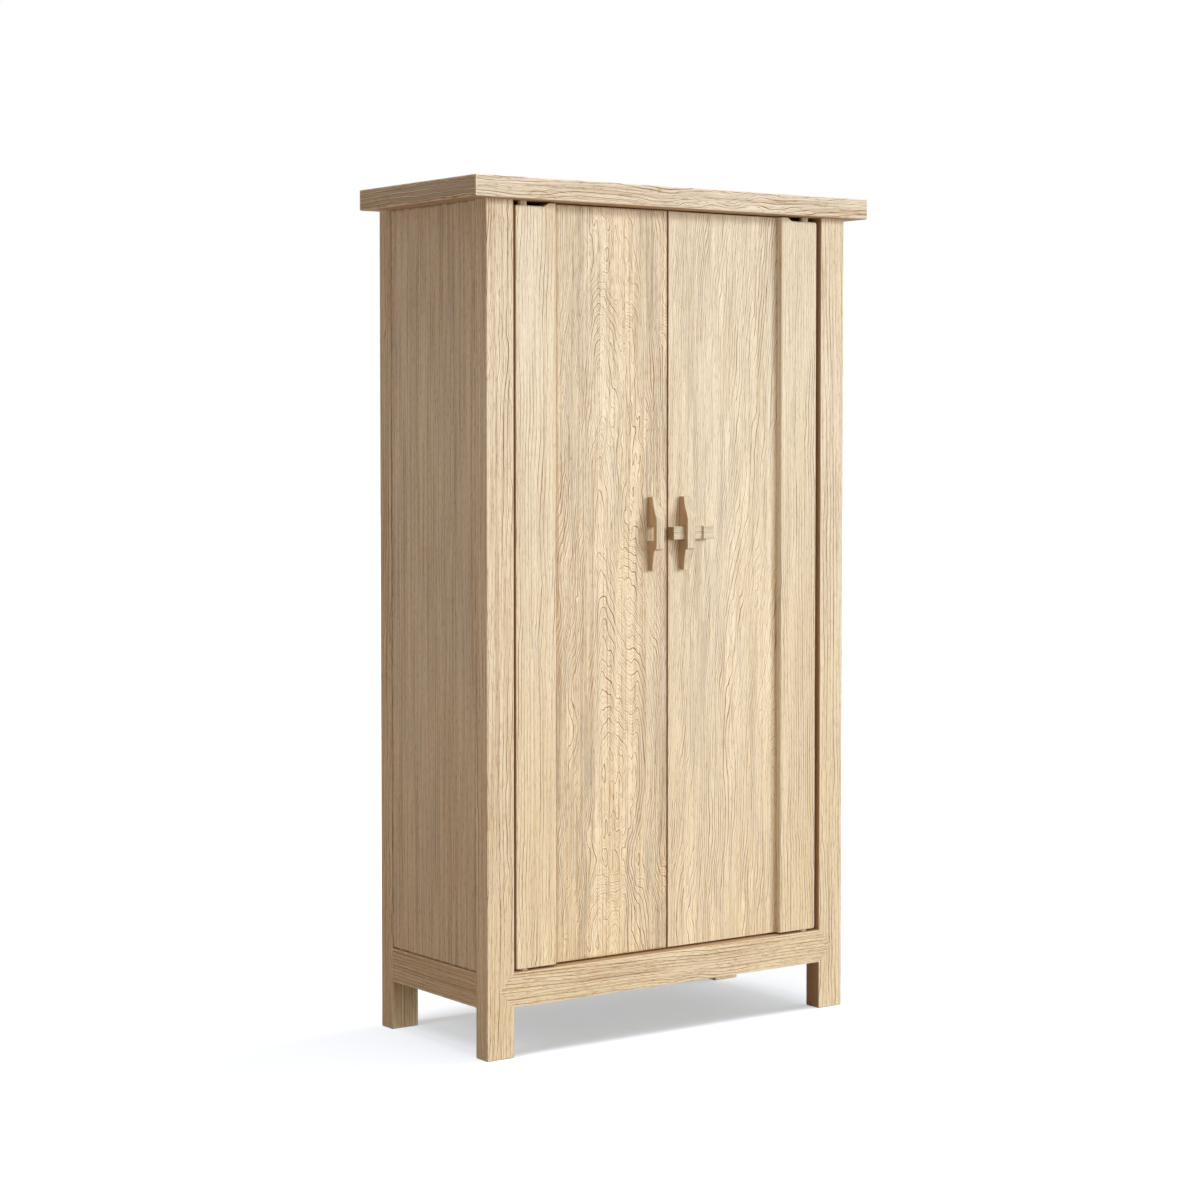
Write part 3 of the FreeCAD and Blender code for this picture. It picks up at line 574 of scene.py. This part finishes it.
floor_mesh = bpy.data.meshes.new("floor")
floor_mesh.from_pydata(
    [(-FLOOR_REACH, -FLOOR_REACH, 0), (FLOOR_REACH, -FLOOR_REACH, 0),
     (FLOOR_REACH, FLOOR_REACH, 0), (-FLOOR_REACH, FLOOR_REACH, 0)], [], [(0, 1, 2, 3)])
floor = bpy.data.objects.new("floor", floor_mesh)
bpy.context.scene.collection.objects.link(floor)
floor_paint = bpy.data.materials.new("white_sweep")
floor_paint.use_nodes = True
tree = floor_paint.node_tree
tree.nodes.clear()
matt = wire(tree, "ShaderNodeBsdfDiffuse", {"Color": FLOOR_MATT}).outputs[0]
seen = wire(tree, "ShaderNodeBsdfDiffuse", {"Color": FLOOR_SEEN}).outputs[0]
lift = wire(tree, "ShaderNodeEmission", {"Color": FLOOR_LIFT, "Strength": 1.0}).outputs[0]
lifted = wire(tree, "ShaderNodeAddShader", {0: seen, 1: lift}).outputs[0]
ground = wire(tree, "ShaderNodeMixShader", {0: seen_directly(tree), 1: matt, 2: lifted}).outputs[0]
wire(tree, "ShaderNodeOutputMaterial", {"Surface": ground})
floor_mesh.materials.append(floor_paint)

# Light
# In a pale surround, a broad window light and a soft key from the front right, a fill from behind
# and a lamp above light the cabinet alone. A long strip overhead, made of a fan of lamps from side
# to side, lights the floor alone and leaves it shaded under the cabinet.

SURROUND = 0.275
WARM_SURROUND = (1.0, 0.662, 0.475, 1.0)
WHITE = (1.0, 1.0, 1.0, 1.0)
STRIP_FORWARD = -0.10
world = bpy.data.worlds.new("surround")
world.use_nodes = True
tree = world.node_tree
tree.nodes.clear()
direct = seen_directly(tree)
strength = reckon(tree, "MULTIPLY_ADD", direct, 1.0 - SURROUND, SURROUND)
hue = tint(tree, direct, WARM_SURROUND, WHITE)
sky = wire(tree, "ShaderNodeBackground", {"Color": hue, "Strength": strength}).outputs[0]
wire(tree, "ShaderNodeOutputWorld", {"Surface": sky})
bpy.context.scene.world = world


def lamp(name, towards, energy, spread, receivers):
    """A far soft lamp that shines from a direction on the things that a collection allows, with
    its width as an angle in degrees."""
    data = bpy.data.lights.new(name, "SUN")
    data.energy = energy
    data.angle = math.radians(spread)
    made = bpy.data.objects.new(name, data)
    made.rotation_euler = Vector(towards).to_track_quat("Z", "Y").to_euler()
    made.light_linking.receiver_collection = receivers
    bpy.context.scene.collection.objects.link(made)


object_only = bpy.data.collections.new("object_only")
object_only.objects.link(floor)
object_only.collection_objects[0].light_linking.link_state = "EXCLUDE"
floor_only = bpy.data.collections.new("floor_only")
floor_only.objects.link(floor)
lamp("window", (0.46, -0.82, 0.08), energy=2.45, spread=45.0, receivers=object_only)
lamp("key", (0.67, -0.63, 0.26), energy=0.82, spread=10.0, receivers=object_only)
lamp("back_fill", (0.30, 0.90, 0.30), energy=1.60, spread=60.0, receivers=object_only)
lamp("overhead", (-0.10, -0.14, 1.0), energy=1.25, spread=16.0, receivers=object_only)
for lean in (-60, -30, 0, 30, 60):
    towards = (math.sin(math.radians(lean)), STRIP_FORWARD, math.cos(math.radians(lean)))
    lamp("strip_%d" % lean, towards, energy=0.68, spread=24.0, receivers=floor_only)

# Camera
# At the photograph's place: to the front left, at chest height, with a long lens shifted down.

SENSOR = 36.0
LENS = 80.395
LENS_SHIFT = -0.05
FARTHEST = 200.0
CAMERA_PLACE = (-3.4476, -4.7341, 1.2836)
CAMERA_YAW = 35.6711
CAMERA_PITCH = 2.2956
camera_data = bpy.data.cameras.new("camera")
camera_data.sensor_width = SENSOR
camera_data.lens = LENS
camera_data.shift_y = LENS_SHIFT
camera_data.clip_end = FARTHEST
camera = bpy.data.objects.new("camera", camera_data)
camera.location = CAMERA_PLACE
camera.rotation_euler = (math.radians(90.0 - CAMERA_PITCH), 0.0, math.radians(-CAMERA_YAW))
bpy.context.scene.collection.objects.link(camera)
bpy.context.scene.camera = camera
bpy.context.scene.view_settings.view_transform = "Standard"
